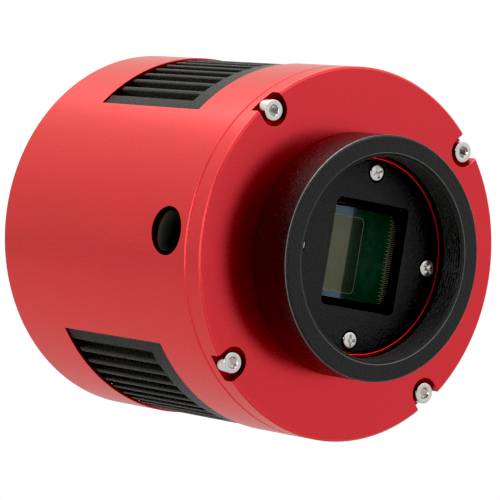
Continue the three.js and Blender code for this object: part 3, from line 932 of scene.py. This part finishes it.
def side_plug(looks):
    """A domed plug nearly flush with the tube."""
    low, high = node_box("side_plug")
    middle = (low + high) / 2
    r, back = (high.y - low.y) / 2, -high.x
    neck = r - 1.2
    rim, dome_rise = 38.15, 0.8
    ball = (r * r + dome_rise ** 2) / (2 * dome_rise)
    tilt = math.asin(r / ball)
    steps = 12
    dome = [
        (ball * math.sin(tilt * k / steps), rim + dome_rise - ball * (1 - math.cos(tilt * k / steps)))
        for k in range(steps)
    ]
    step_out, step_in, step_r = 36.2, 35.4, r - 0.7
    shoulder = [
        (r, rim, 0.45), (r, step_out), (step_r, step_out), (step_r, step_in), (neck, step_in),
    ]
    profile = dome + rounded(shoulder, 0.12, 5) + [(neck, back), (0, back)]
    plug = turned("side_port_plug", profile, 96)
    put(plug, (0, middle.y, middle.z), math.pi / 2, "Z")
    return dress(shade(plug), "port_plug", looks["plug gloss"], "plug_black", "side_plug")


def bond_wires(sizes, looks):
    """Gold wires with staggered starts along both short sides of the chip, down to the package."""
    bm = bmesh.new()
    thick = 0.075
    section = [(-thick, -thick), (thick, -thick), (thick, thick), (-thick, thick)]
    count = sizes.wires
    low, high = CHIP_Z[0] + 0.4, CHIP_Z[1] - 0.4
    for side in (-1, 1):
        for i in range(2 * count):
            z = low + (high - low) * i / (2 * count - 1)
            x0, x1 = WIRE_STARTS[i % 2], WIRE_END
            path = [(x0, 0.01), (x0 + 0.12, -0.1), ((x0 + x1) / 2, -0.12), (x1 - 0.15, -0.04), (x1, 0.14)]
            loft(bm, [[(side * x, CHIP_TOP + y + a * 0.4, z + b) for a, b in section] for x, y in path])
    wires = finish_mesh("sensor_bond_wires", bm)
    return dress(shade(wires), "camera", looks["bond wire"], "sensor_silicon")


def sensor(sizes, looks):
    """The chip, the light-sensitive field on it, the gold line round it and the bond wires."""
    back = node_box("sensor_die")[1].y
    chip = slab("sensor_chip", rectangle(-CHIP_HALF, CHIP_HALF, *CHIP_Z), CHIP_TOP, back)
    break_edges(chip, 0.06 * MM)
    dress(shade(chip), "camera", looks["chip"], "sensor_silicon", "sensor_die")
    x, (z0, z1), line = FIELD_X, FIELD_Z, 0.1
    outline = rectangle(-x, x, z0, z1, FIELD_CORNER, 8)
    field = slab("sensor_field", outline, CHIP_TOP - 0.012, CHIP_TOP + 0.1)
    dress(shade(field), "camera", looks["field"], "sensor_silicon")
    outer = rectangle(-x - line, x + line, z0 - line, z1 + line, FIELD_CORNER + line, 8)
    frame_line = slab("sensor_frame_line", outer, CHIP_TOP - 0.03, CHIP_TOP + 0.08)
    carve(frame_line, slab("inner", rectangle(-x, x, z0, z1, FIELD_CORNER, 8), 0, 10))
    dress(shade(frame_line), "camera", looks["gold"], "sensor_silicon")
    bond_wires(sizes, looks)
    repaint("sensor_package", looks["package"])
    repaint("sensor_cover_glass", looks["window"])
    repaint("protective_window", looks["window"])


def repaint(node, material):
    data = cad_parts[node].data
    data.materials.clear()
    data.materials.append(material)


def rear_cover(sizes, looks):
    """The red plate at the back, with the fan's grille and the cutouts for the ports."""
    low, high = node_box("rear_cover")
    r, front, back = high.x, low.y, high.y
    profile = rounded([(0, front, 0), (r, front, 0.1), (r, back, 0.3), (0, back, 0)], 0.1)
    plate = turned("red_rear_cover", profile, sizes.sides)
    cutters = []
    for row, (r_in, r_out) in enumerate(GRILLE_ROWS):
        half = math.radians(30) - 1 / r_in
        for k in range(6):
            middle = math.radians(60 * k + 30 * row)
            outer = arc(r_out, middle - half, middle + half, 10)
            inner = arc(r_in, middle + half, middle - half, 10)
            cutters.append(slab("slot", outer + inner, front - 1, back + 1))
    for node in PORTS:
        a, b = node_box(node)
        gap = PORT_GAP
        outline = rectangle(a.x - gap, b.x + gap, a.z - gap, b.z + gap, 0.5, 3)
        cutters.append(slab("cutout", outline, front - 1, back + 1))
    for i in range(1, 5):
        spot = node_centre(f"rear_screw_{i}")
        cutters.append(slab("hole", circle(1.6, 36, spot.x, spot.z), front - 1, back))
        cutters.append(slab("counterbore", circle(2.9, 40, spot.x, spot.z), back - 1.7, back + 1))
    carve(plate, *cutters)
    dress(shade(plate, 14), "camera", looks["red anodised"], "red_anodised", "rear_cover")
    for i in range(1, 5):
        spot = node_centre(f"rear_screw_{i}")
        screw = cap_screw(f"rear_cap_screw_{i}", 2.6, 1.5, 1.15, 1.3, -(back - 0.1), 5.5)
        put(screw, (spot.x, 0, spot.z), math.pi, "X")
        dress(shade(screw), "camera", looks["stainless"], "stainless_steel", f"rear_screw_{i}")


def inner_finishes(looks):
    """Finishes for the CAD nodes whose shape stays as it is."""
    groups = {
        "rubber": ["window_oring", "plug_oring"],
        "board": ["sensor_board", "readout_board"],
        "dark board": ["interface_board"],
        "aluminium": ["cold_finger", "cooler_core", *(f"rear_standoff_{i}" for i in range(1, 5))],
        "ceramic": [
            "cooler_cold_ceramic", "cooler_hot_ceramic", "desiccant_tablet_1", "desiccant_tablet_2",
        ],
        "black plastic": [
            "chamber_housing", "desiccant_tube", "fan_frame", "fan_rotor", "power_jack", "memory_chip",
            "readout_chip", "usb_chip",
        ],
        "copper": ["fan_stator"],
        "stainless": [f"fan_screw_{i}" for i in range(1, 5)],
        "port steel": ["usb_hub_port_left", "usb_hub_port_right"],
        "port blue": ["usb_host_port"],
    }
    for look, nodes in groups.items():
        for node in nodes:
            repaint(node, looks[look])


# ---- stage ----


def camera_axes(stage):
    a, e = math.radians(stage.azimuth), math.radians(stage.elevation)
    back = Vector((math.sin(a) * math.cos(e), -math.cos(a) * math.cos(e), math.sin(e)))
    right = Vector((math.cos(a), math.sin(a), 0))
    return back, right, back.cross(right)


def place_camera(context, stage):
    data = bpy.data.cameras.new("view")
    data.lens = stage.lens
    data.sensor_width = 36.0
    data.clip_start, data.clip_end = 0.05, 50.0
    camera = bpy.data.objects.new("view", data)
    context.scene.collection.objects.link(camera)
    back, right, up = camera_axes(stage)
    level = Matrix((right, up, back)).transposed()
    turn = level @ Matrix.Rotation(math.radians(stage.roll), 3, "Z")
    camera.matrix_world = Matrix.Translation(Vector(stage.aim) + back * stage.distance) @ turn.to_4x4()
    context.scene.camera = camera


def softbox(context, name, place, aim, width, height, power):
    data = bpy.data.lights.new(name, "AREA")
    data.shape = "RECTANGLE"
    data.size, data.size_y = width, height
    data.energy = power
    lamp = bpy.data.objects.new(name, data)
    context.scene.collection.objects.link(lamp)
    lamp.visible_camera = False
    lamp.location = place
    lamp.rotation_euler = (Vector(place) - Vector(aim)).to_track_quat("Z", "Y").to_euler()


def studio_walls(context, stage):
    """White walls all round that light the camera, with a dark card behind the lens."""
    world = bpy.data.worlds.new("studio")
    context.scene.world = world
    world.use_nodes = True
    sky = Nodes(world.node_tree)
    direction = sky.node("TexCoord", output="Generated")
    back = camera_axes(stage)[0]
    dot = {"operation": "DOT_PRODUCT"}
    toward_lens = sky.node("VectorMath", dot, {0: direction, 1: back}, output="Value")
    fade = [(0.0, 1.0), (0.80, 1.0), (0.93, 0.0), (1.0, 0.0)]
    card = sky.node("ValToRGB", {"stops": fade}, {0: toward_lens})
    height = sky.node("SeparateXYZ", {}, {0: direction}, output="Z")
    bands = [(0.0, 0.5), (0.5, 0.5), (0.6, 0.56), (0.73, 0.65), (1.0, 0.8)]
    level = sky.node("ValToRGB", {"stops": bands}, {0: 0.5 * height + 0.5})
    behind = sky.node("SeparateXYZ", {}, {0: direction}, output="Y")
    strength = stage.walls * level * card
    warmth = sky.mix(0.5 + 0.5 * behind, (1.0, 0.98, 1.0), (1.0, 0.99, 0.90))
    walls = sky.node("Background", {}, {"Color": warmth, "Strength": strength})
    paper = sky.node("Background", {}, {"Color": (1, 1, 1), "Strength": 1.05})
    seen = sky.node("LightPath", output="Is Camera Ray")
    both = sky.node("MixShader", {}, {0: seen, 1: walls, 2: paper})
    sky.feed(world.node_tree.nodes["World Output"].inputs["Surface"], both)


def studio_floor(context):
    """A pale paper disc below the camera."""
    bm = bmesh.new()
    bmesh.ops.create_circle(bm, cap_ends=True, segments=96, radius=1.7)
    mesh = bpy.data.meshes.new("studio_floor")
    bm.to_mesh(mesh)
    bm.free()
    floor = add_piece("studio_floor", mesh)
    floor.location.z = -0.25
    paper = Finish("studio paper", Roughness=0.9)
    colours = context.scene.guide_camera_colours
    fibre = paper.noise(400.0, 2.0)
    paper.set(Base_Color=paper.mix(fibre, tint(colours.floor, 0.98), colours.floor))
    mesh.materials.append(paper.material)


def studio(context, stage):
    """The floor, the walls, the lamps and how the picture is printed."""
    studio_floor(context)
    studio_walls(context, stage)
    print_settings = context.scene.view_settings
    print_settings.view_transform = "Standard"
    print_settings.use_curve_mapping = True
    print_settings.curve_mapping.black_level = (stage.black_point,) * 3
    print_settings.curve_mapping.update()

    middle = (0.0, 0.03, 0.0)
    above = (-0.25, 0.35, 0.9)
    beside = (-0.88, -0.44, 0.03)
    softbox(context, "top_light", above, middle, 0.9, 0.9, 6.0 * stage.light)
    softbox(context, "left_strip", beside, middle, 0.08, 0.6, 2.0 * stage.light)


# ---- operators ----


def kit(context):
    """The scene's sizes and finishes, from which the pieces are built."""
    return context.scene.guide_camera_sizes, finishes(context)


class GUIDECAMERA_OT_body(bpy.types.Operator):
    """Build the red tube with its vent windows and side port"""

    bl_idname = "guide_camera.body"
    bl_label = "Body tube"

    def execute(self, context):
        body_shell(*kit(context))
        return {"FINISHED"}


class GUIDECAMERA_OT_plate(bpy.types.Operator):
    """Build the red front plate with its screw pockets and threaded boss"""

    bl_idname = "guide_camera.plate"
    bl_label = "Front plate"

    def execute(self, context):
        front_plate(*kit(context))
        return {"FINISHED"}


class GUIDECAMERA_OT_ring(bpy.types.Operator):
    """Build the black extension ring with its threaded bore"""

    bl_idname = "guide_camera.ring"
    bl_label = "Extension ring"

    def execute(self, context):
        extension_ring(*kit(context))
        return {"FINISHED"}


class GUIDECAMERA_OT_cover(bpy.types.Operator):
    """Build the black chamber cover round the sensor"""

    bl_idname = "guide_camera.cover"
    bl_label = "Chamber cover"

    def execute(self, context):
        chamber_cover(*kit(context))
        return {"FINISHED"}


class GUIDECAMERA_OT_screws(bpy.types.Operator):
    """Build the front plate's cap screws and the chamber cover's pan head screws"""

    bl_idname = "guide_camera.screws"
    bl_label = "Front screws"

    def execute(self, context):
        front_screws(finishes(context))
        return {"FINISHED"}


class GUIDECAMERA_OT_sensor(bpy.types.Operator):
    """Build the sensor's frame line and bond wires, and finish its chip, package and glass"""

    bl_idname = "guide_camera.sensor"
    bl_label = "Sensor"

    def execute(self, context):
        sensor(*kit(context))
        return {"FINISHED"}


class GUIDECAMERA_OT_heat_sink(bpy.types.Operator):
    """Build the finned heat sink behind the vents"""

    bl_idname = "guide_camera.heat_sink"
    bl_label = "Heat sink"

    def execute(self, context):
        heat_sink(*kit(context))
        return {"FINISHED"}


class GUIDECAMERA_OT_plug(bpy.types.Operator):
    """Build the domed plug in the side port"""

    bl_idname = "guide_camera.plug"
    bl_label = "Side plug"

    def execute(self, context):
        side_plug(finishes(context))
        return {"FINISHED"}


class GUIDECAMERA_OT_rear(bpy.types.Operator):
    """Build the rear cover with its fan grille, cutouts and screws"""

    bl_idname = "guide_camera.rear"
    bl_label = "Rear cover"

    def execute(self, context):
        rear_cover(*kit(context))
        return {"FINISHED"}


class GUIDECAMERA_OT_inside(bpy.types.Operator):
    """Finish the boards, ports, fan and cooler that keep their shape"""

    bl_idname = "guide_camera.inside"
    bl_label = "Inner pieces"

    def execute(self, context):
        inner_finishes(finishes(context))
        return {"FINISHED"}


class GUIDECAMERA_OT_stage(bpy.types.Operator):
    """Set up the camera, the floor and the lamps"""

    bl_idname = "guide_camera.stage"
    bl_label = "Stage"

    def execute(self, context):
        stage = context.scene.guide_camera_stage
        place_camera(context, stage)
        studio(context, stage)
        return {"FINISHED"}


OPERATORS = (
    GUIDECAMERA_OT_stage,
    GUIDECAMERA_OT_body,
    GUIDECAMERA_OT_plate,
    GUIDECAMERA_OT_ring,
    GUIDECAMERA_OT_cover,
    GUIDECAMERA_OT_screws,
    GUIDECAMERA_OT_sensor,
    GUIDECAMERA_OT_heat_sink,
    GUIDECAMERA_OT_plug,
    GUIDECAMERA_OT_rear,
    GUIDECAMERA_OT_inside,
)


class GUIDECAMERA_PT_panel(bpy.types.Panel):
    """Sizes, colours and build steps of the guide camera"""

    bl_idname = "GUIDECAMERA_PT_panel"
    bl_label = "Guide camera"
    bl_space_type = "VIEW_3D"
    bl_region_type = "UI"
    bl_category = "Guide camera"

    def draw(self, context):
        layout = self.layout
        for group in ("guide_camera_sizes", "guide_camera_colours", "guide_camera_stage"):
            settings = getattr(context.scene, group)
            for name in settings.bl_rna.properties.keys():
                if name not in ("rna_type", "name"):
                    layout.prop(settings, name)
        for operator in OPERATORS:
            layout.operator(operator.bl_idname)


CLASSES = (CameraSizes, CameraColours, StageSettings, *OPERATORS, GUIDECAMERA_PT_panel)


def register():
    for cls in CLASSES:
        bpy.utils.register_class(cls)
    bpy.types.Scene.guide_camera_sizes = PointerProperty(type=CameraSizes)
    bpy.types.Scene.guide_camera_colours = PointerProperty(type=CameraColours)
    bpy.types.Scene.guide_camera_stage = PointerProperty(type=StageSettings)


def unregister():
    del bpy.types.Scene.guide_camera_stage
    del bpy.types.Scene.guide_camera_colours
    del bpy.types.Scene.guide_camera_sizes
    for cls in reversed(CLASSES):
        bpy.utils.unregister_class(cls)


def main():
    register()
    for operator in OPERATORS:
        group, name = operator.bl_idname.split(".")
        getattr(getattr(bpy.ops, group), name)()


if __name__ == "__main__":
    main()
